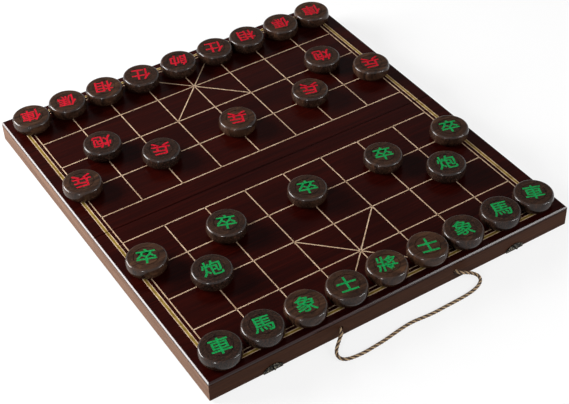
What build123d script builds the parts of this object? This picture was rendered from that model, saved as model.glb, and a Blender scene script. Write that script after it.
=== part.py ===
"""A folding xiangqi box: two board halves with trays, hinges, hasps, a rope handle and 32 men.

Lengths are in millimetres. X runs right along the front, Y away from the front edge, Z up.
The origin is the middle of the hinge line, on the surface that the open box stands on.
"""
from math import asin, cos, radians, sin, tan
import os

from build123d import *

os.makedirs("parts", exist_ok=True)

# Board halves
BOX_WIDTH = 400.0
HALF_DEPTH = 218.0
RAIL_HEIGHT = 20.0
RAIL_THICKNESS = 8.0
PANEL_THICKNESS = 3.0
PANEL_BEVEL = 1.4
SEAM_BEVEL = 0.8
RIM_BEVEL = 0.6
SHADOW_LINE_HEIGHT = 0.9
SHADOW_LINE_DEPTH = 0.7
FOLD_CLEARANCE = 0.1        # from the hinge axis to each seam wall and to each rim

# Butt hinges at the seam
HINGE_SPREAD = 130.0        # from the middle of the box to each hinge
HINGE_LENGTH = 24.0
HINGE_KNUCKLE_RADIUS = 1.0
HINGE_PIN_RADIUS = 0.45
LEAF_HEIGHT = 11.0
LEAF_THICKNESS = 0.5
LEAF_CLEARANCE = 0.05       # from a leaf's face to the seam plane
KNUCKLE_RELIEF = 0.15       # round a knuckle, in the wood and in the other leaf
RUNNING_FIT = 0.05          # radial, on a turning pin
END_PLAY = 0.15             # between two knuckles in a row

# Nails
HINGE_NAIL_SPREAD = 8.0
HINGE_NAIL_HEIGHT = 7.5     # above the hinge axis
NAIL_RADIUS = 0.5
NAIL_LENGTH = 5.5
FLUSH_HEAD_RADIUS = 1.1
FLUSH_HEAD_DEPTH = 0.3
ROUND_HEAD_RADIUS = 1.0
ROUND_HEAD_HEIGHT = 0.5

# Catch plates on the front wall and hasp plates on the back wall
CLASP_SPREAD = 136.0        # from the middle of the box to each clasp
PLATE_WIDTH = 20.0
PLATE_HEIGHT = 7.5
PLATE_SIDE_HEIGHT = 3.0     # straight part of a plate's side
PLATE_THICKNESS = 0.8
PLATE_RIM_GAP = 0.3
PLATE_NAIL_SPREAD = 7.2
PLATE_NAIL_HEIGHT = 3.0     # above a plate's lower edge
HOOK_HEIGHT = 3.4           # above the rim
HOOK_RADIUS = 0.7
HOOK_REACH = 4.6            # from the wall to the nose
HOOK_RISE = 0.9
HOOK_SHANK_DEPTH = 5.0

# Hasp flaps
FLAP_WIDTH = 8.0
FLAP_LENGTH = 9.2           # from the pin's centre to the tip
FLAP_DROOP = 13.0           # degrees below level, with the tip just off the table
HASP_KNUCKLE_RADIUS = 1.2
HASP_PIN_RADIUS = 0.5
HASP_PIN_HEIGHT = 1.4       # above the rim
HASP_PIN_WALL_GAP = 0.1     # from the wall to the knuckles
FLAP_KNUCKLE_WIDTH = 4.0
SLOT_WIDTH = 2.4
SLOT_CLEARANCE = 0.4        # past the hook, along the flap
SLOT_NOSE_CLEARANCE = 0.7   # more, where the nose swings in

# Rope handle
ROPE_DIAMETER = 3.4
ROPE_REST_GAP = 0.05
ROPE_HOLE_SPREAD = 64.2     # from the middle of the box to each hole
ROPE_HOLE_HEIGHT = 11.6     # above the table
ROPE_HOLE_CLEARANCE = 0.5   # radial
ROPE_EXIT = 3.0             # straight out of the wall
KNOT_RADIUS = 4.2
KNOT_LENGTH = 7.0
KNOT_FACE_RADIUS = 3.0

# Playing field
PITCH = 45.0
LAST_FILE_PITCH = 42.5      # the right-hand file lies a little closer
RIVER_WIDTH = 44.0

# Men
MAN_DIAMETER = 40.0         # at its widest
MAN_HEIGHT = 14.0
MAN_WIDEST_HEIGHT = 7.4
MAN_TOP_DIAMETER = 38.0
MAN_BASE_DIAMETER = 32.0
MAN_SHOULDER_RADIUS = 2.6
MAN_FOOT_RADIUS = 0.6
RING_DIAMETER = 23.6
RING_WIDTH = 0.8
RING_DEPTH = 0.35

# Places that follow from the sizes above
AXIS_Z = HINGE_KNUCKLE_RADIUS
RIM_Z = AXIS_Z + FOLD_CLEARANCE
PANEL_Z = RIM_Z + RAIL_HEIGHT
TOP_Z = PANEL_Z + PANEL_THICKNESS
SIDE_X = BOX_WIDTH / 2
HASP_PIN_Z = RIM_Z + HASP_PIN_HEIGHT
HASP_PIN_OUT = HASP_PIN_WALL_GAP + HASP_KNUCKLE_RADIUS
HOOK_Z = RIM_Z + HOOK_HEIGHT
HOOK_ALONG_FLAP = HASP_PIN_HEIGHT + 2 * FOLD_CLEARANCE + HOOK_HEIGHT
FILE_LETTERS = "abcdefghi"

# The rope's route between its two exits: X, distance out from the front wall, and height above
# the height at which it lies on the table.
ROPE_ROUTE = [
    (-72.4, 8.4, 5.0), (-78.6, 13.2, 0.7), (-80.9, 18.8, 0.0), (-79.4, 24.0, 0.0),
    (-74.2, 26.8, 0.0), (-65.4, 28.0, 0.0), (-56.0, 28.2, 0.0), (-46.4, 27.4, 0.0),
    (-36.2, 26.6, 0.0), (-24.6, 24.8, 0.0), (-12.4, 23.0, 0.0), (-1.0, 22.2, 0.0),
    (10.4, 23.4, 0.0), (21.4, 24.2, 0.0), (33.4, 23.8, 0.0), (46.4, 23.6, 0.0),
    (59.4, 23.2, 0.0), (70.4, 21.6, 0.0), (78.4, 18.8, 0.0), (83.4, 15.0, 0.0),
    (85.0, 10.2, 0.6), (81.8, 6.4, 2.6), (75.4, 4.8, 6.0),
]

# Men: kind, point (file letter and rank from the front), and how far off it the man stands.
GREEN_MEN = [
    ("chariot_left", "a0", 4.5, 4.5), ("horse_left", "b0", 3.0, 5.5),
    ("elephant_left", "c0", 2.5, 5.0), ("adviser_left", "d0", 1.5, 5.0),
    ("general", "e0", 1.5, 6.0), ("adviser_right", "f0", 2.0, 5.0),
    ("elephant_right", "g0", -1.5, 5.0), ("horse_right", "h0", -1.0, 6.0),
    ("chariot_right", "i0", -2.0, 7.0), ("cannon_left", "b2", 1.5, 0.5),
    ("cannon_right", "h2", -0.5, -0.5), ("soldier_1", "a3", 4.5, 3.0),
    ("soldier_2", "c3", -0.5, 2.0), ("soldier_3", "e3", 0.5, 1.0),
    ("soldier_4", "g3", 1.0, 1.0), ("soldier_5", "i3", -5.0, -1.5),
]
RED_MEN = [
    ("chariot_left", "a9", 5.0, -9.5), ("horse_left", "b9", 2.5, -7.0),
    ("elephant_left", "c9", 1.0, -7.5), ("adviser_left", "d9", -0.5, -10.0),
    ("general", "e9", 0.5, -10.0), ("adviser_right", "f9", 1.0, -11.0),
    ("elephant_right", "g9", -2.5, -11.5), ("horse_right", "h9", -2.5, -12.0),
    ("chariot_right", "i9", -2.0, -10.5), ("cannon_left", "b7", 1.5, -1.5),
    ("cannon_right", "h7", 0.5, -2.0), ("soldier_1", "a6", 2.5, -0.5),
    ("soldier_2", "c6", 1.0, -0.5), ("soldier_3", "e6", 1.5, 0.0),
    ("soldier_4", "g6", 1.0, -0.5), ("soldier_5", "i6", -5.5, 1.5),
]


def save(name, shape):
    """Write one node: a solid, or a group of like solids."""
    if isinstance(shape, list):
        shape = Compound(children=shape)
    export_step(shape, f"parts/{name}.step")


def block(x_low, x_high, y_low, y_high, z_low, z_high):
    """A box between two corners, in whichever order the Y and Z limits come."""
    size = Box(x_high - x_low, abs(y_high - y_low), abs(z_high - z_low))
    return Pos((x_low + x_high) / 2, (y_low + y_high) / 2, (z_low + z_high) / 2) * size


def rod_x(radius, x_low, x_high, y, z):
    """A round rod along X."""
    rod = Cylinder(radius, x_high - x_low, rotation=(0, 90, 0))
    return Pos((x_low + x_high) / 2, y, z) * rod


def rod_y(radius, x, y_low, y_high, z):
    """A round rod along Y, in whichever order the limits come."""
    rod = Cylinder(radius, abs(y_high - y_low), rotation=(90, 0, 0))
    return Pos(x, (y_low + y_high) / 2, z) * rod


def prism(points, z_low, z_high):
    """An upright prism over a closed outline."""
    outline = make_face(Polyline(*points, close=True))
    return Pos(0, 0, z_low) * extrude(outline, z_high - z_low)


# ---- wooden halves -------------------------------------------------------------------------

def half_frame(side):
    """Four mitred rails; side is -1 for the near half and 1 for the far half."""
    seam = side * FOLD_CLEARANCE
    wall = side * HALF_DEPTH
    seam_in = side * (FOLD_CLEARANCE + RAIL_THICKNESS)
    wall_in = side * (HALF_DEPTH - RAIL_THICKNESS)
    inner_x = SIDE_X - RAIL_THICKNESS
    outlines = {
        "wall": [(-SIDE_X, wall), (SIDE_X, wall), (inner_x, wall_in), (-inner_x, wall_in)],
        "spine": [(-SIDE_X, seam), (SIDE_X, seam), (inner_x, seam_in), (-inner_x, seam_in)],
        "left": [(-SIDE_X, seam), (-SIDE_X, wall), (-inner_x, wall_in), (-inner_x, seam_in)],
        "right": [(SIDE_X, seam), (SIDE_X, wall), (inner_x, wall_in), (inner_x, seam_in)],
    }
    line_low = PANEL_Z - SHADOW_LINE_HEIGHT
    line_x = SIDE_X - SHADOW_LINE_DEPTH
    line_y = side * (HALF_DEPTH - SHADOW_LINE_DEPTH)
    shadow_line = block(-SIDE_X, SIDE_X, seam, wall, line_low, PANEL_Z)
    shadow_line -= block(-line_x, line_x, 0, line_y, line_low, PANEL_Z)
    rails = {}
    for place, outline in outlines.items():
        rails[place] = prism(outline, RIM_Z, PANEL_Z) - shadow_line
        edges = outer_rim_edges(rails[place], place, wall)
        if edges:
            rails[place] = chamfer(edges, RIM_BEVEL)
    return rails


def outer_rim_edges(rail, place, wall):
    """The lower outer edge of a rail; the spine rail keeps its sharp edge."""
    edges = rail.edges().filter_by_position(Axis.Z, RIM_Z, RIM_Z)
    if place == "wall":
        return edges.filter_by_position(Axis.Y, wall, wall)
    if place == "left":
        return edges.filter_by_position(Axis.X, -SIDE_X, -SIDE_X)
    if place == "right":
        return edges.filter_by_position(Axis.X, SIDE_X, SIDE_X)
    return ShapeList()


def playing_panel(side):
    """The top panel of one half, bevelled on three outer edges and less at the seam."""
    panel = block(-SIDE_X, SIDE_X, side * FOLD_CLEARANCE, side * HALF_DEPTH, PANEL_Z, TOP_Z)
    top = panel.edges().filter_by_position(Axis.Z, TOP_Z, TOP_Z)
    seam = top.sort_by(Axis.Y)[-1] if side < 0 else top.sort_by(Axis.Y)[0]
    outer = [edge for edge in top if edge is not seam]
    panel = chamfer(outer, PANEL_BEVEL)
    seam_edges = panel.edges().filter_by_position(Axis.Z, TOP_Z, TOP_Z).sort_by(Axis.Y)
    return chamfer(seam_edges[-1] if side < 0 else seam_edges[0], SEAM_BEVEL)


# ---- nails ---------------------------------------------------------------------------------

def flush_nail(x, face_y, z, side):
    """A nail driven along side, its flat head level with face_y; side points into the wood."""
    head = rod_y(FLUSH_HEAD_RADIUS, x, face_y, face_y + side * FLUSH_HEAD_DEPTH, z)
    return head + rod_y(NAIL_RADIUS, x, face_y, face_y + side * NAIL_LENGTH, z)


def round_nail(x, face_y, z, side):
    """A round-headed nail on face_y, driven along side into the wood."""
    rise = ROUND_HEAD_HEIGHT
    dome = (ROUND_HEAD_RADIUS**2 + rise**2) / (2 * rise)
    half_angle = asin(ROUND_HEAD_RADIUS / dome) / 2
    middle = (dome * sin(half_angle), rise - dome + dome * cos(half_angle))
    profile = make_face([
        Line((0, 0), (ROUND_HEAD_RADIUS, 0)),
        ThreePointArc((ROUND_HEAD_RADIUS, 0), middle, (0, rise)),
        Line((0, rise), (0, 0)),
    ])
    head = revolve(Plane.XZ * profile, Axis.Z)
    shank = Pos(0, 0, -NAIL_LENGTH / 2) * Cylinder(NAIL_RADIUS, NAIL_LENGTH)
    return Pos(x, face_y, z) * Rot(side * 90, 0, 0) * (head + shank)


# ---- seam hinges ---------------------------------------------------------------------------

def hinge_leaf(centre_x, side):
    """A leaf on one seam wall: the near one has two knuckles, the far one the middle knuckle."""
    third = HINGE_LENGTH / 3
    left = centre_x - HINGE_LENGTH / 2
    face = side * LEAF_CLEARANCE
    back = side * (LEAF_CLEARANCE + LEAF_THICKNESS)
    leaf = block(left, left + HINGE_LENGTH, face, back, AXIS_Z, AXIS_Z + LEAF_HEIGHT)
    for index in range(3):
        x_low = left + index * third
        mine = (index == 1) == (side > 0)
        if mine:
            low_play = END_PLAY if index > 0 else 0
            high_play = END_PLAY if index < 2 else 0
            knuckle = rod_x(HINGE_KNUCKLE_RADIUS, x_low + low_play, x_low + third - high_play, 0, AXIS_Z)
            leaf += knuckle
        else:
            relief = HINGE_KNUCKLE_RADIUS + KNUCKLE_RELIEF
            leaf -= block(x_low, x_low + third, face, back, AXIS_Z, AXIS_Z + relief)
    bore = HINGE_PIN_RADIUS + (RUNNING_FIT if side > 0 else 0)
    leaf -= rod_x(bore, left, left + HINGE_LENGTH, 0, AXIS_Z)
    for x in (centre_x - HINGE_NAIL_SPREAD, centre_x + HINGE_NAIL_SPREAD):
        leaf -= flush_nail(x, face, AXIS_Z + HINGE_NAIL_HEIGHT, side)
    return leaf


def hinge_seat(centre_x, side):
    """What a hinge takes out of a seam wall: the leaf's mortise, the knuckles' relief, nail holes."""
    left = centre_x - HINGE_LENGTH / 2
    right = centre_x + HINGE_LENGTH / 2
    back = side * (LEAF_CLEARANCE + LEAF_THICKNESS)
    seat = block(left, right, 0, back, RIM_Z, AXIS_Z + LEAF_HEIGHT)
    seat += rod_x(HINGE_KNUCKLE_RADIUS + KNUCKLE_RELIEF, left, right, 0, AXIS_Z)
    for nail in hinge_nails(centre_x, side):
        seat += nail
    return seat


def hinge_nails(centre_x, side):
    """The two flush nails of one leaf."""
    places = (centre_x - HINGE_NAIL_SPREAD, centre_x + HINGE_NAIL_SPREAD)
    height = AXIS_Z + HINGE_NAIL_HEIGHT
    return [flush_nail(x, side * LEAF_CLEARANCE, height, side) for x in places]


def hinge_pin(centre_x):
    """The pin through the three knuckles."""
    half = HINGE_LENGTH / 2
    return rod_x(HINGE_PIN_RADIUS, centre_x - half, centre_x + half, 0, AXIS_Z)


# ---- clasps --------------------------------------------------------------------------------

def half_oval(centre_x, y_low, y_high, z_low):
    """A plate with straight lower sides and a rounded top."""
    half = PLATE_WIDTH / 2
    shoulder = z_low + PLATE_SIDE_HEIGHT
    top = z_low + PLATE_HEIGHT
    outline = make_face([
        Line((-half, z_low), (half, z_low)),
        Line((half, z_low), (half, shoulder)),
        ThreePointArc((half, shoulder), (0, top), (-half, shoulder)),
        Line((-half, shoulder), (-half, z_low)),
    ])
    plate = extrude(Plane.XZ * outline, -(y_high - y_low))
    return Pos(centre_x, y_low, 0) * plate


def plate_nails(centre_x, face_y, side):
    """The two round-headed nails of a plate; side points into the wall."""
    height = RIM_Z + PLATE_RIM_GAP + PLATE_NAIL_HEIGHT
    places = (centre_x - PLATE_NAIL_SPREAD, centre_x + PLATE_NAIL_SPREAD)
    return [round_nail(x, face_y, height, side) for x in places]


def catch_hook(centre_x):
    """A round hook through the catch plate, its nose turned away from the rim."""
    inside = -HALF_DEPTH + HOOK_SHANK_DEPTH
    bend = -HALF_DEPTH - HOOK_REACH / 2
    nose = -HALF_DEPTH - HOOK_REACH + HOOK_RADIUS
    shank = rod_y(HOOK_RADIUS, centre_x, inside, bend, HOOK_Z)
    start = (centre_x, bend, HOOK_Z)
    finish = (centre_x, nose, HOOK_Z + HOOK_RISE)
    path = TangentArc(start, finish, tangent=(0, -1, 0))
    section = Plane(origin=start, z_dir=(0, -1, 0)) * Circle(HOOK_RADIUS)
    return shank + sweep(section, path=path) + Pos(*finish) * Sphere(HOOK_RADIUS)


def catch_plate(centre_x):
    """The plate on the front wall that carries the hook."""
    face = -HALF_DEPTH - PLATE_THICKNESS
    plate = half_oval(centre_x, face, -HALF_DEPTH, RIM_Z + PLATE_RIM_GAP)
    plate -= rod_y(HOOK_RADIUS, centre_x, face, -HALF_DEPTH, HOOK_Z)
    for nail in plate_nails(centre_x, face, 1):
        plate -= nail
    return plate


def hasp_plate(centre_x):
    """The plate on the back wall that carries two knuckles."""
    face = HALF_DEPTH + PLATE_THICKNESS
    knuckle_y = HALF_DEPTH + HASP_PIN_OUT
    relief = HASP_KNUCKLE_RADIUS + KNUCKLE_RELIEF
    plate = half_oval(centre_x, HALF_DEPTH, face, RIM_Z + PLATE_RIM_GAP)
    for nail in plate_nails(centre_x, face, -1):
        plate -= nail
    gap = FLAP_WIDTH / 2 + END_PLAY
    plate -= block(centre_x - gap, centre_x + gap, HALF_DEPTH, face, RIM_Z, HASP_PIN_Z + relief)
    knuckle_low = FLAP_KNUCKLE_WIDTH / 2 + END_PLAY
    for sign in (-1, 1):
        ends = sorted((centre_x + sign * knuckle_low, centre_x + sign * FLAP_WIDTH / 2))
        tab_top = HASP_PIN_Z + relief + PLATE_THICKNESS
        plate += block(*ends, HALF_DEPTH, face, HASP_PIN_Z, tab_top)
        plate += rod_x(HASP_KNUCKLE_RADIUS, *ends, knuckle_y, HASP_PIN_Z)
    half = FLAP_WIDTH / 2
    return plate - rod_x(HASP_PIN_RADIUS, centre_x - half, centre_x + half, knuckle_y, HASP_PIN_Z)


def hasp_pin(centre_x):
    """The pin that a flap turns on, tight in the plate's knuckles."""
    half = FLAP_WIDTH / 2
    return rod_x(HASP_PIN_RADIUS, centre_x - half, centre_x + half, HALF_DEPTH + HASP_PIN_OUT, HASP_PIN_Z)


def hasp_flap(centre_x):
    """The slotted flap, drooping from its pin; it is drawn along Y and then turned."""
    half = FLAP_WIDTH / 2
    tip_start = FLAP_LENGTH - half * 0.5
    root = HASP_KNUCKLE_RADIUS + KNUCKLE_RELIEF
    outline = make_face([
        Line((-half, root), (half, root)),
        Line((half, root), (half, tip_start)),
        ThreePointArc((half, tip_start), (0, FLAP_LENGTH), (-half, tip_start)),
        Line((-half, tip_start), (-half, root)),
    ])
    sheet = Pos(0, 0, -PLATE_THICKNESS / 2) * extrude(outline, PLATE_THICKNESS)
    tongue = FLAP_KNUCKLE_WIDTH / 2
    sheet += block(-tongue, tongue, 0, root, -PLATE_THICKNESS / 2, PLATE_THICKNESS / 2)
    sheet += rod_x(HASP_KNUCKLE_RADIUS, -tongue, tongue, 0, 0)
    sheet -= rod_x(HASP_PIN_RADIUS + RUNNING_FIT, -tongue, tongue, 0, 0)
    slot_low = HOOK_ALONG_FLAP - HOOK_RADIUS - SLOT_CLEARANCE
    slot_high = HOOK_ALONG_FLAP + HOOK_RISE + HOOK_RADIUS + SLOT_NOSE_CLEARANCE
    slot = SlotOverall(slot_high - slot_low, SLOT_WIDTH, rotation=90)
    sheet -= Pos(0, (slot_low + slot_high) / 2, -PLATE_THICKNESS / 2) * extrude(slot, PLATE_THICKNESS)
    return Pos(centre_x, HALF_DEPTH + HASP_PIN_OUT, HASP_PIN_Z) * Rot(-FLAP_DROOP, 0, 0) * sheet


# ---- rope handle ---------------------------------------------------------------------------

def rope_points():
    """The rope's route from one knot to the other, through the two holes."""
    lying = ROPE_DIAMETER / 2 + ROPE_REST_GAP
    ends = []
    for x in (-ROPE_HOLE_SPREAD, ROPE_HOLE_SPREAD):
        inside = (x, -HALF_DEPTH + RAIL_THICKNESS, ROPE_HOLE_HEIGHT)
        outside = (x, -HALF_DEPTH - ROPE_EXIT, ROPE_HOLE_HEIGHT)
        ends.append([inside, outside])
    route = [(x, -HALF_DEPTH - out, lying + lift) for x, out, lift in ROPE_ROUTE]
    return ends[0] + route + ends[1][::-1]


def bend_radii(points):
    """At each corner, 0.45 of the shorter run over the tangent of half the turn."""
    radii = []
    for before, corner, after in zip(points, points[1:], points[2:]):
        run_in = Vector(*corner) - Vector(*before)
        run_out = Vector(*after) - Vector(*corner)
        turn = radians(run_in.get_angle(run_out))
        radii.append(0.45 * min(run_in.length, run_out.length) / tan(turn / 2))
    return radii


def rope_tube():
    """The rope as a tube of straight runs and tangent arcs."""
    points = rope_points()
    radii = bend_radii(points)
    path = FilletPolyline(*points, radius=radii)
    start = Plane(origin=points[0], z_dir=(0, -1, 0))
    tube = sweep(start * Circle(ROPE_DIAMETER / 2), path=path)
    section = Circle(ROPE_DIAMETER / 2).area
    print("rope radii", [round(radius, 1) for radius in radii])
    print("rope length", round(path.length, 1), "volume over section times length",
          round(tube.volume / (section * path.length), 4))
    return tube


def stopper_knot(x):
    """A rounded knot against the inside of the front wall."""
    profile = make_face([
        Line((0, 0), (KNOT_FACE_RADIUS, 0)),
        ThreePointArc((KNOT_FACE_RADIUS, 0), (KNOT_RADIUS, KNOT_LENGTH / 2), (KNOT_FACE_RADIUS, KNOT_LENGTH)),
        Line((KNOT_FACE_RADIUS, KNOT_LENGTH), (0, KNOT_LENGTH)),
        Line((0, KNOT_LENGTH), (0, 0)),
    ])
    knot = revolve(Plane.XZ * profile, Axis.Z)
    return Pos(x, -HALF_DEPTH + RAIL_THICKNESS, ROPE_HOLE_HEIGHT) * Rot(-90, 0, 0) * knot


# ---- men -----------------------------------------------------------------------------------

def man():
    """A drum with rounded sides, narrower at the foot, and an engraved ring on its face."""
    foot = MAN_BASE_DIAMETER / 2
    widest = MAN_DIAMETER / 2
    top = MAN_TOP_DIAMETER / 2
    profile = make_face([
        Line((0, 0), (foot, 0)),
        TangentArc((widest, MAN_WIDEST_HEIGHT), (foot, 0), tangent=(0, -1)),
        TangentArc((widest, MAN_WIDEST_HEIGHT), (top, MAN_HEIGHT), tangent=(0, 1)),
        Line((top, MAN_HEIGHT), (0, MAN_HEIGHT)),
        Line((0, MAN_HEIGHT), (0, 0)),
    ])
    disc = revolve(Plane.XZ * profile, Axis.Z)
    disc = fillet(disc.edges().sort_by(Axis.Z)[0], MAN_FOOT_RADIUS)
    disc = fillet(disc.edges().sort_by(Axis.Z)[-1], MAN_SHOULDER_RADIUS)
    ring_out = Cylinder(RING_DIAMETER / 2 + RING_WIDTH / 2, RING_DEPTH)
    ring_in = Cylinder(RING_DIAMETER / 2 - RING_WIDTH / 2, RING_DEPTH)
    return disc - Pos(0, 0, MAN_HEIGHT - RING_DEPTH / 2) * (ring_out - ring_in)


def point_place(point):
    """The X and Y of a point such as "e9"; the river lies between ranks 4 and 5."""
    letter, digit = point
    half_files = len(FILE_LETTERS) // 2
    x = (FILE_LETTERS.index(letter) - half_files) * PITCH
    if letter == FILE_LETTERS[-1]:
        x += LAST_FILE_PITCH - PITCH
    rank = int(digit)
    near_ranks = 5
    if rank < near_ranks:
        return x, -RIVER_WIDTH / 2 - (near_ranks - 1 - rank) * PITCH
    return x, RIVER_WIDTH / 2 + (rank - near_ranks) * PITCH


def place_men(colour, men):
    """Save every man of one side where it stands."""
    shape = man()
    for name, point, off_x, off_y in men:
        x, y = point_place(point)
        save(f"man_{colour}_{name}", Pos(x + off_x, y + off_y, TOP_Z) * shape)


# ---- assembly ------------------------------------------------------------------------------

def build_near_half():
    """Panel, rails with rope holes and hinge seats, catches and the rope."""
    rails = half_frame(-1)
    hole = ROPE_DIAMETER / 2 + ROPE_HOLE_CLEARANCE
    inside = -HALF_DEPTH + RAIL_THICKNESS
    plate_face = -HALF_DEPTH - PLATE_THICKNESS
    for x in (-ROPE_HOLE_SPREAD, ROPE_HOLE_SPREAD):
        rails["wall"] -= rod_y(hole, x, -HALF_DEPTH, inside, ROPE_HOLE_HEIGHT)
    hooks = []
    nails = []
    for side_name, x in (("left", -CLASP_SPREAD), ("right", CLASP_SPREAD)):
        save(f"catch_plate_{side_name}", catch_plate(x))
        hooks.append(catch_hook(x))
        nails += plate_nails(x, plate_face, 1)
    for piece in hooks + nails:
        rails["wall"] -= piece
    for x in (-HINGE_SPREAD, HINGE_SPREAD):
        rails["spine"] -= hinge_seat(x, -1)
    save("near_playing_panel", playing_panel(-1))
    save("near_front_rail", rails["wall"])
    save("near_spine_rail", rails["spine"])
    save("near_left_rail", rails["left"])
    save("near_right_rail", rails["right"])
    save("catch_hooks", hooks)
    save("catch_nails", nails)
    save("rope_handle", rope_tube())
    save("rope_knot_left", stopper_knot(-ROPE_HOLE_SPREAD))
    save("rope_knot_right", stopper_knot(ROPE_HOLE_SPREAD))


def build_far_half():
    """Panel, rails with hinge seats, and the hasps."""
    rails = half_frame(1)
    plate_face = HALF_DEPTH + PLATE_THICKNESS
    nails = []
    for side_name, x in (("left", -CLASP_SPREAD), ("right", CLASP_SPREAD)):
        save(f"hasp_plate_{side_name}", hasp_plate(x))
        save(f"hasp_flap_{side_name}", hasp_flap(x))
        nails += plate_nails(x, plate_face, -1)
    for nail in nails:
        rails["wall"] -= nail
    for x in (-HINGE_SPREAD, HINGE_SPREAD):
        rails["spine"] -= hinge_seat(x, 1)
    save("far_playing_panel", playing_panel(1))
    save("far_back_rail", rails["wall"])
    save("far_spine_rail", rails["spine"])
    save("far_left_rail", rails["left"])
    save("far_right_rail", rails["right"])
    save("hasp_nails", nails)
    save("hasp_pins", [hasp_pin(x) for x in (-CLASP_SPREAD, CLASP_SPREAD)])


def build_hinges():
    """Both seam hinges, their pins and their nails."""
    centres = (-HINGE_SPREAD, HINGE_SPREAD)
    save("near_hinge_leaves", [hinge_leaf(x, -1) for x in centres])
    save("far_hinge_leaves", [hinge_leaf(x, 1) for x in centres])
    save("hinge_pins", [hinge_pin(x) for x in centres])
    save("near_hinge_nails", [nail for x in centres for nail in hinge_nails(x, -1)])
    save("far_hinge_nails", [nail for x in centres for nail in hinge_nails(x, 1)])


build_near_half()
build_far_half()
build_hinges()
place_men("green", GREEN_MEN)
place_men("red", RED_MEN)
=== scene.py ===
"""Looks of the folding xiangqi box: finishes, inlaid lines, marks on the men, and the twisted rope.

Lengths are in metres, in the part's own frame: X right along the front, Y to the back, Z up.
"""
import math
import random

import bmesh
import bpy
from mathutils import Matrix, Vector


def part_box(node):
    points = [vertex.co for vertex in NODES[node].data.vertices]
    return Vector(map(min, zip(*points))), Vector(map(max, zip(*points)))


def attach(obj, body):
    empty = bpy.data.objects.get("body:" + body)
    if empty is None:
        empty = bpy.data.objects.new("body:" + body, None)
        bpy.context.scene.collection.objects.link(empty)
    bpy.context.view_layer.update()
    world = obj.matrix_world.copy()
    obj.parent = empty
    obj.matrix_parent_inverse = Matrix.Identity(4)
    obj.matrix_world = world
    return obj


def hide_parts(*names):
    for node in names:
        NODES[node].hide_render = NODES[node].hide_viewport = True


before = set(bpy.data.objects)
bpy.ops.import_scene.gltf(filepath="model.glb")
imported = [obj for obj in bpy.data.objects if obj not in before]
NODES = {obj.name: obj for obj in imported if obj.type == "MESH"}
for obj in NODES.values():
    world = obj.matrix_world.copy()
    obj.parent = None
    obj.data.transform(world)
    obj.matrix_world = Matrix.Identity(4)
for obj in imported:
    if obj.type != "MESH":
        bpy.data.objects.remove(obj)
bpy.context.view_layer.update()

MM = 0.001
NEAR_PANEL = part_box("near_playing_panel")
FRONT_Y = NEAR_PANEL[0].y
SIDE_X = NEAR_PANEL[1].x
TOP_Z = NEAR_PANEL[1].z

# Playing field
PITCH = 45 * MM
LAST_FILE_PITCH = 42.5 * MM
RIVER_WIDTH = 44 * MM
EVEN_FILES = 8                # the ninth stands nearer
MIDDLE_FILE = 4
FILES = [(index - MIDDLE_FILE) * PITCH for index in range(EVEN_FILES)]
FILES.append(FILES[-1] + LAST_FILE_PITCH)
HALF_RANKS = 5
RANKS = [-RIVER_WIDTH / 2 - (HALF_RANKS - 1 - index) * PITCH for index in range(HALF_RANKS)]
RANKS += [RIVER_WIDTH / 2 + index * PITCH for index in range(HALF_RANKS)]
PALACE_FILES = (3, 5)
PALACE_RANKS = 2
LINE_WIDTH = 1.1 * MM
LINE_RISE = 0.05 * MM
SEAM_KEEP_OFF = 1.1 * MM      # printed lines stop short of the seam's bevel
BAND_OFFSET = 5.6 * MM        # from the outer lines to the middle of the border band
BAND_WIDTH = 3.8 * MM
BAND_EDGE_WIDTH = 0.8 * MM
BAND_FILL_RISE = LINE_RISE * 0.7

# Camera, from the photograph's lines
CAMERA_AZIMUTH = -31.285
CAMERA_ELEVATION = 41.332
CAMERA_ROLL = -2.019
CAMERA_FOCAL_PIXELS = 1306.05
CAMERA_TARGET = (-21.61 * MM, -58.68 * MM, 24.0 * MM)
CAMERA_DISTANCE = 1273.15 * MM
PHOTO_WIDTH = 569
SENSOR_WIDTH = 36.0
CAMERA_CLIP_START = 0.01

# Rope: the route repeats the part's, as X, distance out from the front wall, and height above
# the height at which the rope lies.
ROPE_DIAMETER = 3.4 * MM
ROPE_LYING_HEIGHT = 1.75 * MM
ROPE_HOLE_HEIGHT = 11.6 * MM
ROPE_HOLE_SPREAD = 64.2 * MM
ROPE_EXIT = 3.0 * MM
RAIL_THICKNESS = 8.0 * MM
ROPE_ROUTE = [
    (-72.4, 8.4, 5.0), (-78.6, 13.2, 0.7), (-80.9, 18.8, 0.0), (-79.4, 24.0, 0.0),
    (-74.2, 26.8, 0.0), (-65.4, 28.0, 0.0), (-56.0, 28.2, 0.0), (-46.4, 27.4, 0.0),
    (-36.2, 26.6, 0.0), (-24.6, 24.8, 0.0), (-12.4, 23.0, 0.0), (-1.0, 22.2, 0.0),
    (10.4, 23.4, 0.0), (21.4, 24.2, 0.0), (33.4, 23.8, 0.0), (46.4, 23.6, 0.0),
    (59.4, 23.2, 0.0), (70.4, 21.6, 0.0), (78.4, 18.8, 0.0), (83.4, 15.0, 0.0),
    (85.0, 10.2, 0.6), (81.8, 6.4, 2.6), (75.4, 4.8, 6.0),
]
ROPE_CURVE_ORDER = 3
ROPE_CURVE_STEPS = 12
STRANDS = 4
ROPE_TONES = 2                # the strands take these in turn
STRAND_PITCH = 11.0 * MM
STRAND_RADIUS = 0.93 * MM
STRAND_SIDES = 10

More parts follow.
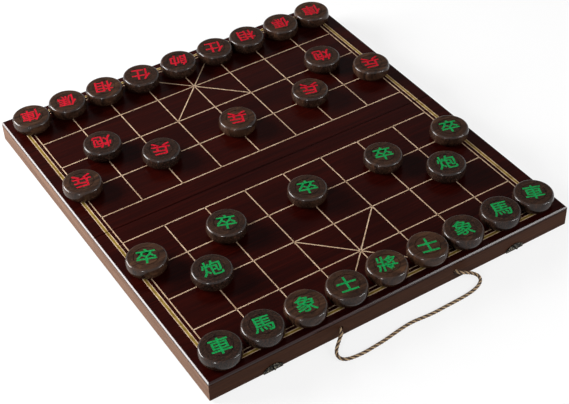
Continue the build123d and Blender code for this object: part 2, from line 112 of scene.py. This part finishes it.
# Stage
FLOOR_LIFT = 0.8              # own light, seen by the camera and in reflections only
FLOOR_TONE = 0.2
FLOOR_HALF_SIZE = 12.0
WORLD_SEEN = 1.0
WORLD_LIGHT = 0.11
LIGHT_AIM = (0, 0, 0.02)
LIGHTS = (                    # name, place, aim, size, watts
    ("key", (-1.05, 0.85, 0.56), LIGHT_AIM, (0.95, 0.6), 47),
    ("left_strip", (-1.05, -0.80, 0.42), LIGHT_AIM, (0.04, 0.4), 6),
    ("right_strip", (0.95, -0.92, 0.28), LIGHT_AIM, (0.04, 0.3), 3),
    ("front", (0.78, -1.06, 0.69), (0.15, -0.2, 0.02), (0.34, 0.26), 6),
    ("top", (0.1, 0.1, 1.7), (0, 0, 0), (1.2, 1.2), 1.5),
)
WHITE = (1, 1, 1, 1)


# ---- node graphs ---------------------------------------------------------------------------

class Graph:
    """One procedural material while it is wired up."""

    def __init__(self, name, **surface):
        self.material = bpy.data.materials.new(name)
        self.material.use_nodes = True
        self.tree = self.material.node_tree
        self.shader = self.tree.nodes["Principled BSDF"]
        for socket, value in surface.items():
            self.shader.inputs[socket.replace("_", " ")].default_value = value

    def add(self, kind, inputs=None, **settings):
        """Add a node, set its settings, and set or link its inputs."""
        node = self.tree.nodes.new("ShaderNode" + kind)
        for name, value in settings.items():
            setattr(node, name, value)
        for name, value in (inputs or {}).items():
            if isinstance(value, bpy.types.NodeSocket):
                self.tree.links.new(value, node.inputs[name])
            else:
                node.inputs[name].default_value = value
        return node

    def ramp(self, factor, stops):
        """A colour ramp through pairs of a position and a display colour."""
        node = self.add("ValToRGB", {"Fac": factor})
        elements = node.color_ramp.elements
        stops = list(stops)
        while len(elements) < len(stops):
            elements.new(0.5)
        for element, (position, colour) in zip(elements, stops):
            element.position = position
            element.color = (*srgb(*colour), 1.0)
        return node.outputs["Color"]

    def surface(self, socket, value):
        """Link a value to the shader."""
        self.tree.links.new(value, self.shader.inputs[socket])

    def place(self, scale=(1, 1, 1), turn=(0, 0, 0)):
        """Object coordinates, stretched and turned."""
        where = self.add("TexCoord").outputs["Object"]
        return self.add("Mapping", {"Vector": where, "Scale": scale, "Rotation": turn}).outputs["Vector"]

    def noise(self, vector, detail=4.0, roughness=0.55, distortion=0.0):
        """Fractal noise between 0 and 1; the vector carries its scale."""
        inputs = {"Vector": vector, "Scale": 1.0, "Detail": detail, "Roughness": roughness,
                  "Distortion": distortion}
        return self.add("TexNoise", inputs).outputs["Fac"]

    def mix(self, factor, first, second, blend="MIX"):
        """Mix two colours."""
        node = self.add("Mix", data_type="RGBA", blend_type=blend)
        for index, value in ((0, factor), (6, first), (7, second)):
            if isinstance(value, bpy.types.NodeSocket):
                self.tree.links.new(value, node.inputs[index])
            else:
                node.inputs[index].default_value = value
        return node.outputs[2]

    def spread(self, value, low, high):
        """Map 0..1 to low..high."""
        return self.add("MapRange", {"Value": value, "To Min": low, "To Max": high}).outputs["Result"]

    def by_slope(self, socket, level, sloping):
        """Link one value on level faces and another on sloping ones."""
        normal = self.add("NewGeometry").outputs["True Normal"]
        upward = self.add("SeparateXYZ", {"Vector": normal}).outputs["Z"]
        upward = self.add("Math", {0: upward}, operation="ABSOLUTE").outputs[0]
        limits = {"From Min": LEVEL_FROM, "From Max": LEVEL_TO, "To Min": sloping, "To Max": level}
        self.surface(socket, self.add("MapRange", {"Value": upward, **limits}).outputs["Result"])

    def bump(self, height, strength, distance):
        """Link a bump to the shader's normal."""
        inputs = {"Height": height, "Strength": strength, "Distance": distance}
        self.surface("Normal", self.add("Bump", inputs).outputs["Normal"])


def srgb(red, green, blue):
    """A display colour of 0..255 as linear light."""
    def linear(value):
        value /= 255
        return value / 12.92 if value <= 0.04045 else ((value + 0.055) / 1.055) ** 2.4
    return (linear(red), linear(green), linear(blue))


# ---- materials -----------------------------------------------------------------------------

# Colours are display values of 0..255, and a stop is a position on a ramp with its colour. A scale is
# in waves per metre. A relief is a bump's strength and its depth in metres.
PANEL_FINE_SCALE = {"along": 0, "across": 420, "length": 14}
PANEL_BROAD_SCALE = {"along": 0, "across": 60, "length": 4}
PANEL_CLOUD_SCALE = (9, 9, 9)
PANEL_STREAKS = ((0.30, (22, 2, 2)), (0.52, (38, 6, 3)), (0.74, (62, 13, 7)))
PANEL_BANDS = ((0.35, (27, 3, 2)), (0.70, (52, 11, 6)))
PANEL_BAND_SHARE = 0.45
PANEL_CLOUD = (24, 3, 2)
PANEL_CLOUD_SHARE = (0.0, 0.5)
PANEL_ROUGHNESS = (0.22, 0.27)
PANEL_RELIEF = (0.015, 0.0003)
PANEL_SPECULAR = 0.02
BEVEL_SPECULAR = (("X", SIDE_X, 0.4), ("Y", FRONT_Y, 0.24))   # axis, edge of the box, most
BEVEL_FROM = 0.9955           # of the way from the middle to the edge
BEVEL_BLEND = 0.001

WALL_STOPS = (0.30, 0.52, 0.75)
WALL_SHADE_STOPS = (0.34, 0.68)
WALL_SHADE_SHARE = 0.4
WALL_ROUGHNESS = (0.4, 0.56)
WALL_RELIEF = (0.16, 0.0004)
WALL_SPECULAR = 0.05
# The long walls (front, back and spine) take darker tones than the end walls: painted shade on the same
# wood.
LONG_WALL_TONES_PAINTED_SHADE = ((42, 22, 14), (60, 35, 23), (76, 48, 33))
SIDE_WALL_TONES = ((86, 61, 48), (107, 80, 64), (126, 97, 79))

# A face counts as level when its normal's upright part lies between these.
LEVEL_FROM = 0.90
LEVEL_TO = 0.98
MAN_WARMTHS = (0.0, 0.3, 0.65, 1.0)
MAN_GRAIN_TURN = (0.3, 0.2)
MAN_GRAIN_SPIN = 0.5          # about Z, and one radian more per unit of warmth
MAN_FINE_SCALE = (500, 1400, 500)
MAN_STREAK_SCALE = (40, 160, 60)
MAN_CLOUD_SCALE = (30, 30, 30)
MAN_FLECKS = ((0.38, (12, 8, 6)), (0.54, (34, 24, 20)), (0.70, (84, 54, 42)))
MAN_STREAKS = ((0.36, (30, 18, 12)), (0.58, (66, 44, 31)), (0.80, (104, 72, 50)))
MAN_LEAST_BROWN_PER_WARMTH = 0.45
MAN_MOST_BROWN = 0.3
MAN_MOST_BROWN_PER_WARMTH = 0.65
MAN_ROUGHNESS = (0.6, 0.19)   # on level faces, and on sloping ones
MAN_SPECULAR = (0.05, 0.28)   # likewise
MAN_RELIEF = (0.06, 0.0003)

PRINT_SPECULAR = 0.03         # of the print and of the paint
PAINT_SCALE = (700, 700, 700)
PAINT_STOPS = (0.32, 0.66)
PAINT_ROUGHNESS = (0.35, 0.6)
PAINT_RELIEF = (0.2, 0.0002)
GREEN_TONES = ((10, 108, 52), (28, 150, 78))
RED_TONES = ((146, 14, 28), (196, 28, 46))
PRINT_SCALE = (160, 160, 160)
PRINT_STOPS = (0.34, 0.62)
PRINT_ROUGHNESS = (0.4, 0.6)
GOLD_TONES = ((168, 138, 110), (206, 178, 150))
OLIVE_TONES = ((104, 84, 30), (140, 118, 50))

METAL_SCALE = (420, 420, 420)
METAL_STOPS = (0.50, 0.70)
METAL_ROUGHNESS = (0.3 + 0.15, 0.3)
METAL_RELIEF = (0.25, 0.0002)
# The pale tone of the aged brass is partly painted glints on the near-black clasps.
AGED_BRASS_AND_GLINT_TONES = ((14, 12, 9), (150, 142, 124))
HINGE_BRASS_TONES = ((96, 74, 36), (190, 158, 96))

FIBRE_SCALE = (900, 9, 1)
FIBRE_TURN = (0, 0, 0.012)
FIBRE_STOPS = (0.32, 0.68)
FIBRE_ROUGHNESS = (0.6, 0.85)
FIBRE_RELIEF = (0.5, 0.0003)
DARK_FIBRE_TONES = ((34, 22, 16), (78, 54, 40))
LIGHT_FIBRE_TONES = ((150, 120, 88), (214, 186, 148))


def grain_scale(along, across, length):
    """Mapping scale for grain that runs along one axis of X, Y or Z."""
    return tuple(length if axis == along else across for axis in range(3))


def lacquered_panel():
    """Near-black red lacquer over streaky wood, its grain along X; the outer bevels shine most."""
    graph = Graph("panel_lacquer")
    fine_place = graph.place(grain_scale(**PANEL_FINE_SCALE))
    fine = graph.noise(fine_place, detail=6.0, roughness=0.62, distortion=0.25)
    broad_place = graph.place(grain_scale(**PANEL_BROAD_SCALE))
    broad = graph.noise(broad_place, detail=3.0, roughness=0.5, distortion=0.6)
    cloud = graph.noise(graph.place(PANEL_CLOUD_SCALE), detail=2.0)
    streaks = graph.ramp(fine, PANEL_STREAKS)
    bands = graph.ramp(broad, PANEL_BANDS)
    colour = graph.mix(PANEL_BAND_SHARE, streaks, bands)
    cloud_colour = (*srgb(*PANEL_CLOUD), 1.0)
    colour = graph.mix(graph.spread(cloud, *PANEL_CLOUD_SHARE), colour, cloud_colour)
    graph.surface("Base Color", colour)
    graph.surface("Roughness", graph.spread(fine, *PANEL_ROUGHNESS))
    where = graph.add("SeparateXYZ", {"Vector": graph.add("TexCoord").outputs["Object"]}).outputs
    shine = []
    for axis, reach, most in BEVEL_SPECULAR:
        part = graph.add("Math", {0: where[axis], 1: reach}, operation="DIVIDE").outputs[0]
        part = graph.add("Math", {0: part}, operation="ABSOLUTE").outputs[0]
        limits = {"From Min": BEVEL_FROM - BEVEL_BLEND, "From Max": BEVEL_FROM,
                  "To Min": PANEL_SPECULAR, "To Max": most}
        shine.append(graph.add("MapRange", {"Value": part, **limits}).outputs["Result"])
    shine = graph.add("Math", {0: shine[0], 1: shine[1]}, operation="MAXIMUM").outputs[0]
    graph.surface("Specular IOR Level", shine)
    graph.bump(fine, *PANEL_RELIEF)
    return graph.material


def frame_wood(name, along, tones):
    """Brown satin wood of the walls, with a dark, a middle and a pale tone."""
    graph = Graph(name, Specular_IOR_Level=WALL_SPECULAR)
    fine_place = graph.place(grain_scale(along, across=520, length=16))
    fine = graph.noise(fine_place, detail=6.0, roughness=0.65, distortion=0.3)
    broad_place = graph.place(grain_scale(along, across=120, length=5))
    broad = graph.noise(broad_place, detail=3.0, roughness=0.5, distortion=0.5)
    streaks = graph.ramp(fine, zip(WALL_STOPS, tones))
    shade = graph.ramp(broad, zip(WALL_SHADE_STOPS, (tones[0], tones[-1])))
    graph.surface("Base Color", graph.mix(WALL_SHADE_SHARE, streaks, shade))
    graph.surface("Roughness", graph.spread(fine, *WALL_ROUGHNESS))
    graph.bump(fine, *WALL_RELIEF)
    return graph.material


def man_wood(name, warm):
    """Dense dark wood with brown streaks and speckles; warm moves it from grey to brown."""
    graph = Graph(name)
    turn = (*MAN_GRAIN_TURN, MAN_GRAIN_SPIN + warm)
    fine_place = graph.place(MAN_FINE_SCALE, turn)
    fine = graph.noise(fine_place, detail=5.0, roughness=0.65, distortion=0.4)
    streak_place = graph.place(MAN_STREAK_SCALE, turn)
    streak = graph.noise(streak_place, detail=4.0, roughness=0.6, distortion=1.2)
    cloud = graph.noise(graph.place(MAN_CLOUD_SCALE), detail=2.0)
    dark = graph.ramp(fine, MAN_FLECKS)
    brown = graph.ramp(streak, MAN_STREAKS)
    most = MAN_MOST_BROWN + warm * MAN_MOST_BROWN_PER_WARMTH
    share = graph.spread(cloud, warm * MAN_LEAST_BROWN_PER_WARMTH, most)
    graph.surface("Base Color", graph.mix(share, dark, brown))
    graph.by_slope("Roughness", *MAN_ROUGHNESS)
    graph.by_slope("Specular IOR Level", *MAN_SPECULAR)
    graph.bump(fine, *MAN_RELIEF)
    return graph.material


def paint(name, tones):
    """Enamel in the carved marks, a little uneven."""
    graph = Graph(name, Specular_IOR_Level=PRINT_SPECULAR)
    spots = graph.noise(graph.place(PAINT_SCALE), detail=3.0)
    graph.surface("Base Color", graph.ramp(spots, zip(PAINT_STOPS, tones)))
    graph.surface("Roughness", graph.spread(spots, *PAINT_ROUGHNESS))
    graph.bump(spots, *PAINT_RELIEF)
    return graph.material


def printed_gold(name, tones):
    """Matt gold print with slight thin spots."""
    graph = Graph(name, Specular_IOR_Level=PRINT_SPECULAR)
    thin = graph.noise(graph.place(PRINT_SCALE))
    graph.surface("Base Color", graph.ramp(thin, zip(PRINT_STOPS, tones)))
    graph.surface("Roughness", graph.spread(thin, *PRINT_ROUGHNESS))
    return graph.material


def aged_metal(name, tones):
    """Metal with random dark blotches and pale patches; on the clasps the pale patches are painted glints
    as much as rubbed metal.
    """
    graph = Graph(name, Metallic=1.0)
    wear_and_glints = graph.noise(graph.place(METAL_SCALE), detail=5.0, roughness=0.65)
    graph.surface("Base Color", graph.ramp(wear_and_glints, zip(METAL_STOPS, tones)))
    graph.surface("Roughness", graph.spread(wear_and_glints, *METAL_ROUGHNESS))
    graph.bump(wear_and_glints, *METAL_RELIEF)
    return graph.material


def rope_fibre(name, tones):
    """Spun fibre: fine threads along each strand."""
    graph = Graph(name, Specular_IOR_Level=0.25, Sheen_Weight=0.3, Sheen_Roughness=0.4)
    where = graph.add("TexCoord").outputs["UV"]
    lay = graph.add("Mapping", {"Vector": where, "Scale": FIBRE_SCALE, "Rotation": FIBRE_TURN})
    threads = graph.noise(lay.outputs["Vector"], detail=3.0, roughness=0.6)
    graph.surface("Base Color", graph.ramp(threads, zip(FIBRE_STOPS, tones)))
    graph.surface("Roughness", graph.spread(threads, *FIBRE_ROUGHNESS))
    graph.bump(threads, *FIBRE_RELIEF)
    return graph.material


def pale_floor():
    """White ground that keeps the shadow and reads as the photograph's white."""
    graph = Graph("floor", Roughness=0.9, Specular_IOR_Level=0.1)
    graph.shader.inputs["Base Color"].default_value = (FLOOR_TONE, FLOOR_TONE, FLOOR_TONE, 1)
    path = graph.add("LightPath").outputs
    seen = graph.add("Math", {0: path["Is Camera Ray"], 1: path["Is Glossy Ray"]}, operation="MAXIMUM")
    seen = graph.add("Math", {0: seen.outputs[0], 1: path["Is Transmission Ray"]}, operation="MAXIMUM")
    graph.shader.inputs["Emission Color"].default_value = WHITE
    lift = graph.add("Math", {0: seen.outputs[0], 1: FLOOR_LIFT}, operation="MULTIPLY")
    graph.surface("Emission Strength", lift.outputs[0])
    return graph.material


# ---- meshes --------------------------------------------------------------------------------

def new_piece(name, mesh, body, slot, *materials):
    """A visible piece that rides on a body and takes the given materials; the slot is not used."""
    piece = bpy.data.objects.new(name, mesh)
    bpy.context.scene.collection.objects.link(piece)
    for material in materials:
        mesh.materials.append(material)
    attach(piece, body)
    return piece


def finish_node(node, material):
    """Give a CAD node its finish."""
    mesh = NODES[node].data
    mesh.materials.clear()
    mesh.materials.append(material)


def add_slab(mesh, corners, low, high):
    """A thin flat-topped slab over four corners."""
    bottom = [mesh.verts.new((x, y, low)) for x, y in corners]
    top = [mesh.verts.new((x, y, high)) for x, y in corners]
    mesh.faces.new(top)
    mesh.faces.new(bottom[::-1])
    for index in range(4):
        following = (index + 1) % 4
        mesh.faces.new((bottom[index], bottom[following], top[following], top[index]))


def add_line(mesh, start, end, width, rise=LINE_RISE):
    """A printed line from start to end, square at its ends."""
    start, end = Vector(start), Vector(end)
    along = (end - start).normalized() * width / 2
    side = Vector((-along.y, along.x))
    corners = [start - along - side, end + along - side, end + along + side, start - along + side]
    add_slab(mesh, corners, TOP_Z, TOP_Z + rise)


def mesh_from(name, build):
    """Run build on an empty bmesh and return the mesh."""
    work = bmesh.new()
    build(work)
    bmesh.ops.recalc_face_normals(work, faces=work.faces)
    mesh = bpy.data.meshes.new(name)
    work.to_mesh(mesh)
    work.free()
    return mesh


# ---- playing field -------------------------------------------------------------------------

def field_lines(side):
    """Files, ranks and palace of one half; side is -1 for the near half."""
    ranks = RANKS[:HALF_RANKS] if side < 0 else RANKS[HALF_RANKS:]
    outer, inner = (ranks[0], ranks[-1]) if side < 0 else (ranks[-1], ranks[0])
    seam = side * SEAM_KEEP_OFF

    def build(mesh):
        for rank in ranks:
            add_line(mesh, (FILES[0], rank), (FILES[-1], rank), LINE_WIDTH)
        for index, file_x in enumerate(FILES):
            finish = seam if index in (0, len(FILES) - 1) else inner
            add_line(mesh, (file_x, outer), (file_x, finish), LINE_WIDTH)
        palace = outer - side * PALACE_RANKS * PITCH
        left, right = (FILES[index] for index in PALACE_FILES)
        add_line(mesh, (left, outer), (right, palace), LINE_WIDTH)
        add_line(mesh, (right, outer), (left, palace), LINE_WIDTH)

    return mesh_from("field_lines", build)


def band_runs(side, offset):
    """The three straight runs of the border band on one half, at a distance from the outer lines."""
    left = FILES[0] - offset
    right = FILES[-1] + offset
    outer = (RANKS[0] if side < 0 else RANKS[-1]) + side * offset
    seam = side * SEAM_KEEP_OFF
    return [((left, seam), (left, outer)), ((left, outer), (right, outer)), ((right, outer), (right, seam))]


def band(side, offset, width, rise):
    """One stripe of the border band."""
    def build(mesh):
        for start, end in band_runs(side, offset):
            add_line(mesh, start, end, width, rise)
    return mesh_from("border", build)


def dress_field(gold, olive):
    """Printed lines and border band of both halves."""
    edge_offset = (BAND_WIDTH - BAND_EDGE_WIDTH) / 2
    for side, half in ((-1, "near"), (1, "far")):
        body = half + "_half"
        new_piece(half + "_field_lines", field_lines(side), body, "panel_lacquer", gold)
        fill = band(side, BAND_OFFSET, BAND_WIDTH - BAND_EDGE_WIDTH, BAND_FILL_RISE)
        new_piece(half + "_border_fill", fill, body, "panel_lacquer", olive)
        for name, offset in (("inner", -edge_offset), ("outer", edge_offset)):
            stripe = band(side, BAND_OFFSET + offset, BAND_EDGE_WIDTH, LINE_RISE)
            new_piece(f"{half}_border_{name}", stripe, body, "panel_lacquer", gold)


# ---- marks ---------------------------------------------------------------------------------

MARKS = {
    "green": {"chariot": "車", "horse": "馬", "elephant": "象", "adviser": "士",
              "general": "將", "cannon": "炮", "soldier": "卒"},
    "red": {"chariot": "俥", "horse": "傌", "elephant": "相", "adviser": "仕",
            "general": "帥", "cannon": "炮", "soldier": "兵"},
}
MARK_SIZE = 20.5 * MM
MARK_BOLDNESS = 0.3 * MM
MARK_TURN = -15.0             # degrees; the men stand turned a little clockwise
MARK_TURN_SPREAD = 6.0
MARK_RISE = 0.08 * MM
MARK_CURVE_STEPS = 3
MEN_SEED = 7


def mark_mesh(text):
    """A rank mark in the plain default typeface, centred on the origin."""
    curve = bpy.data.curves.new("mark", "FONT")
    curve.body = text
    curve.size = MARK_SIZE
    curve.offset = MARK_BOLDNESS
    curve.extrude = MARK_RISE / 2
    curve.resolution_u = MARK_CURVE_STEPS
    text_object = bpy.data.objects.new("mark", curve)
    bpy.context.scene.collection.objects.link(text_object)
    bpy.context.view_layer.update()
    evaluated = text_object.evaluated_get(bpy.context.evaluated_depsgraph_get())
    mesh = bpy.data.meshes.new_from_object(evaluated)
    bpy.data.objects.remove(text_object)
    low = [min(vertex.co[axis] for vertex in mesh.vertices) for axis in range(3)]
    high = [max(vertex.co[axis] for vertex in mesh.vertices) for axis in range(3)]
    middle = Vector([(a + b) / 2 for a, b in zip(low, high)])
    mesh.transform(Matrix.Translation(-middle))
    return mesh


def dress_men(woods, paints):
    """Wood and a painted mark for every man."""
    rng = random.Random(MEN_SEED)
    for node in sorted(NODES):
        if not node.startswith("man_"):
            continue
        colour, kind = node.split("_")[1:3]
        finish_node(node, rng.choice(woods))
        low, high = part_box(node)
        turn = math.pi if colour == "red" else 0.0
        turn += math.radians(MARK_TURN + rng.uniform(-MARK_TURN_SPREAD, MARK_TURN_SPREAD))
        mesh = mark_mesh(MARKS[colour][kind])
        centre = Vector(((low.x + high.x) / 2, (low.y + high.y) / 2, high.z + MARK_RISE / 2))
        mesh.transform(Matrix.Translation(centre) @ Matrix.Rotation(turn, 4, "Z"))
        new_piece("mark_" + node, mesh, node, colour + "_men_wood", paints[colour])


# ---- rope ----------------------------------------------------------------------------------

def rope_route():
    """The rope's points, from one knot to the other."""
    points = []
    inside = FRONT_Y + RAIL_THICKNESS
    outside = FRONT_Y - ROPE_EXIT
    points.append(Vector((-ROPE_HOLE_SPREAD, inside, ROPE_HOLE_HEIGHT)))
    points.append(Vector((-ROPE_HOLE_SPREAD, outside, ROPE_HOLE_HEIGHT)))
    for x, out, lift in ROPE_ROUTE:
        points.append(Vector((x * MM, FRONT_Y - out * MM, ROPE_LYING_HEIGHT + lift * MM)))
    points.append(Vector((ROPE_HOLE_SPREAD, outside, ROPE_HOLE_HEIGHT)))
    points.append(Vector((ROPE_HOLE_SPREAD, inside, ROPE_HOLE_HEIGHT)))
    return points


def spline_points(route):
    """Points read from one open NURBS spline over the route."""
    curve = bpy.data.curves.new("rope_line", "CURVE")
    curve.dimensions = "3D"
    curve.resolution_u = ROPE_CURVE_STEPS
    spline = curve.splines.new("NURBS")
    spline.points.add(len(route) - 1)
    for point, where in zip(spline.points, route):
        point.co = (*where, 1.0)
    spline.order_u = ROPE_CURVE_ORDER
    spline.use_endpoint_u = True
    line = bpy.data.objects.new("rope_line", curve)
    bpy.context.scene.collection.objects.link(line)
    bpy.context.view_layer.update()
    evaluated = line.evaluated_get(bpy.context.evaluated_depsgraph_get())
    mesh = bpy.data.meshes.new_from_object(evaluated)
    points = [vertex.co.copy() for vertex in mesh.vertices]
    bpy.data.objects.remove(line)
    bpy.data.meshes.remove(mesh)
    return points


def frames_along(points):
    """At each point: distance from the start, and two directions across, carried without twist."""
    tangents = []
    for index in range(len(points)):
        before = points[max(index - 1, 0)]
        after = points[min(index + 1, len(points) - 1)]
        tangents.append((after - before).normalized())
    across = tangents[0].orthogonal().normalized()
    distance = 0.0
    frames = []
    for index, tangent in enumerate(tangents):
        if index:
            distance += (points[index] - points[index - 1]).length
            across = (across - tangent * across.dot(tangent)).normalized()
        frames.append((distance, across, tangent.cross(across)))
    return frames


def rope_strands(points):
    """Four strands laid round the line, two of each colour, each a closed tube."""
    frames = frames_along(points)
    lay_radius = ROPE_DIAMETER / 2 - STRAND_RADIUS
    vertices, faces, tones, lengths = [], [], [], []
    for strand in range(STRANDS):
        first = len(vertices)
        for point, (distance, across, up) in zip(points, frames):
            angle = 2 * math.pi * (distance / STRAND_PITCH + strand / STRANDS)
            centre_out = across * math.cos(angle) + up * math.sin(angle)
            centre = point + centre_out * lay_radius
            for side in range(STRAND_SIDES):
                turn = 2 * math.pi * side / STRAND_SIDES
                out = across * math.cos(turn) + up * math.sin(turn)
                vertices.append(centre + out * STRAND_RADIUS)
                lengths.append((distance, side / STRAND_SIDES))
        rings = len(points)
        for ring in range(rings - 1):
            for side in range(STRAND_SIDES):
                following = (side + 1) % STRAND_SIDES
                low = first + ring * STRAND_SIDES
                high = low + STRAND_SIDES
                faces.append((low + side, low + following, high + following, high + side))
                tones.append(strand % ROPE_TONES)
        end = first + (rings - 1) * STRAND_SIDES
        faces.append(tuple(first + side for side in reversed(range(STRAND_SIDES))))
        faces.append(tuple(end + side for side in range(STRAND_SIDES)))
        tones += [strand % ROPE_TONES] * 2
    mesh = bpy.data.meshes.new("rope")
    mesh.from_pydata(vertices, [], faces)
    layer = mesh.uv_layers.new(name="along")
    for loop in mesh.loops:
        layer.data[loop.index].uv = lengths[loop.vertex_index][::-1]
    for polygon, tone in zip(mesh.polygons, tones):
        polygon.material_index = tone
        polygon.use_smooth = len(polygon.vertices) == 4
    return mesh


def dress_rope(dark, light):
    """The twisted rope, in place of its plain tube."""
    points = spline_points(rope_route())
    rope = new_piece("rope", rope_strands(points), "near_half", "rope", dark, light)
    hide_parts("rope_handle")


# ---- stage ---------------------------------------------------------------------------------

def build_floor():
    """A large pale floor at the height that the box stands on."""
    def build(mesh):
        corners = [(-1, -1), (1, -1), (1, 1), (-1, 1)]
        verts = [mesh.verts.new((x * FLOOR_HALF_SIZE, y * FLOOR_HALF_SIZE, 0)) for x, y in corners]
        mesh.faces.new(verts)
    floor = bpy.data.objects.new("floor", mesh_from("floor", build))
    bpy.context.scene.collection.objects.link(floor)
    floor.data.materials.append(pale_floor())


def build_world():
    """White surroundings to look at, and a softer light from them."""
    world = bpy.data.worlds.new("studio")
    bpy.context.scene.world = world
    world.use_nodes = True
    tree = world.node_tree
    path = tree.nodes.new("ShaderNodeLightPath").outputs
    last = path["Is Camera Ray"]
    for name in ("Is Glossy Ray", "Is Transmission Ray"):
        either = tree.nodes.new("ShaderNodeMath")
        either.operation = "MAXIMUM"
        tree.links.new(last, either.inputs[0])
        tree.links.new(path[name], either.inputs[1])
        last = either.outputs[0]
    strength = tree.nodes.new("ShaderNodeMapRange")
    strength.inputs["To Min"].default_value = WORLD_LIGHT
    strength.inputs["To Max"].default_value = WORLD_SEEN
    tree.links.new(last, strength.inputs["Value"])
    tree.links.new(strength.outputs["Result"], tree.nodes["Background"].inputs["Strength"])
    tree.nodes["Background"].inputs["Color"].default_value = WHITE


def softbox(name, place, aim, size, watts):
    """A rectangular soft light that faces a point."""
    light = bpy.data.lights.new(name, "AREA")
    light.shape = "RECTANGLE"
    light.size, light.size_y = size
    light.energy = watts
    lamp = bpy.data.objects.new(name, light)
    lamp.location = place
    lamp.rotation_euler = (Vector(aim) - Vector(place)).to_track_quat("-Z", "Y").to_euler()
    bpy.context.scene.collection.objects.link(lamp)


def build_lights():
    """A low softbox behind the left edge, upright strips left and right of the camera, and fills."""
    for settings in LIGHTS:
        softbox(*settings)


def build_camera():
    """The photograph's viewpoint."""
    azimuth, elevation, roll = map(math.radians, (CAMERA_AZIMUTH, CAMERA_ELEVATION, CAMERA_ROLL))
    back = Vector((math.sin(azimuth) * math.cos(elevation), -math.cos(azimuth) * math.cos(elevation),
                   math.sin(elevation)))
    level = Vector((math.cos(azimuth), math.sin(azimuth), 0))
    upright = back.cross(level)
    right = level * math.cos(roll) + upright * math.sin(roll)
    up = upright * math.cos(roll) - level * math.sin(roll)
    data = bpy.data.cameras.new("camera")
    data.sensor_width = SENSOR_WIDTH
    data.lens = CAMERA_FOCAL_PIXELS / PHOTO_WIDTH * SENSOR_WIDTH
    data.clip_start = CAMERA_CLIP_START
    camera = bpy.data.objects.new("camera", data)
    turn = Matrix((right, up, back)).transposed().to_4x4()
    camera.matrix_world = Matrix.Translation(Vector(CAMERA_TARGET) + back * CAMERA_DISTANCE) @ turn
    bpy.context.scene.collection.objects.link(camera)
    bpy.context.scene.camera = camera


# ---- everything ----------------------------------------------------------------------------

def dress_nodes():
    """Finishes of the carried-over nodes."""
    panel = lacquered_panel()
    # The long walls get the darker copy of the wall wood, which is painted shade.
    shaded_long_rail = frame_wood("frame_wood_long_painted_shade", 0, LONG_WALL_TONES_PAINTED_SHADE)
    side_rail = frame_wood("frame_wood_side", 1, SIDE_WALL_TONES)
    aged_brass = aged_metal("antique_brass", AGED_BRASS_AND_GLINT_TONES)
    hinge_brass = aged_metal("hinge_brass", HINGE_BRASS_TONES)
    for node in NODES:
        if node.endswith("panel"):
            finish_node(node, panel)
        elif node.endswith("rail"):
            side = "left" in node or "right" in node
            finish_node(node, side_rail if side else shaded_long_rail)
        elif "hinge" in node:
            finish_node(node, hinge_brass)
        elif node.startswith(("catch", "hasp")):
            finish_node(node, aged_brass)


bpy.context.scene.view_settings.view_transform = "Standard"
build_camera()
dark_fibre = rope_fibre("rope_dark", DARK_FIBRE_TONES)
light_fibre = rope_fibre("rope_light", LIGHT_FIBRE_TONES)
dress_rope(dark_fibre, light_fibre)
for knot in ("rope_knot_left", "rope_knot_right"):
    finish_node(knot, dark_fibre)
dress_nodes()
gold_print = printed_gold("gold_print", GOLD_TONES)
olive_print = printed_gold("olive_print", OLIVE_TONES)
dress_field(gold_print, olive_print)
man_woods = [man_wood(f"man_wood_{index}", warm) for index, warm in enumerate(MAN_WARMTHS)]
green_paint = paint("green_paint", GREEN_TONES)
red_paint = paint("red_paint", RED_TONES)
dress_men(man_woods, {"green": green_paint, "red": red_paint})
build_floor()
build_world()
build_lights()
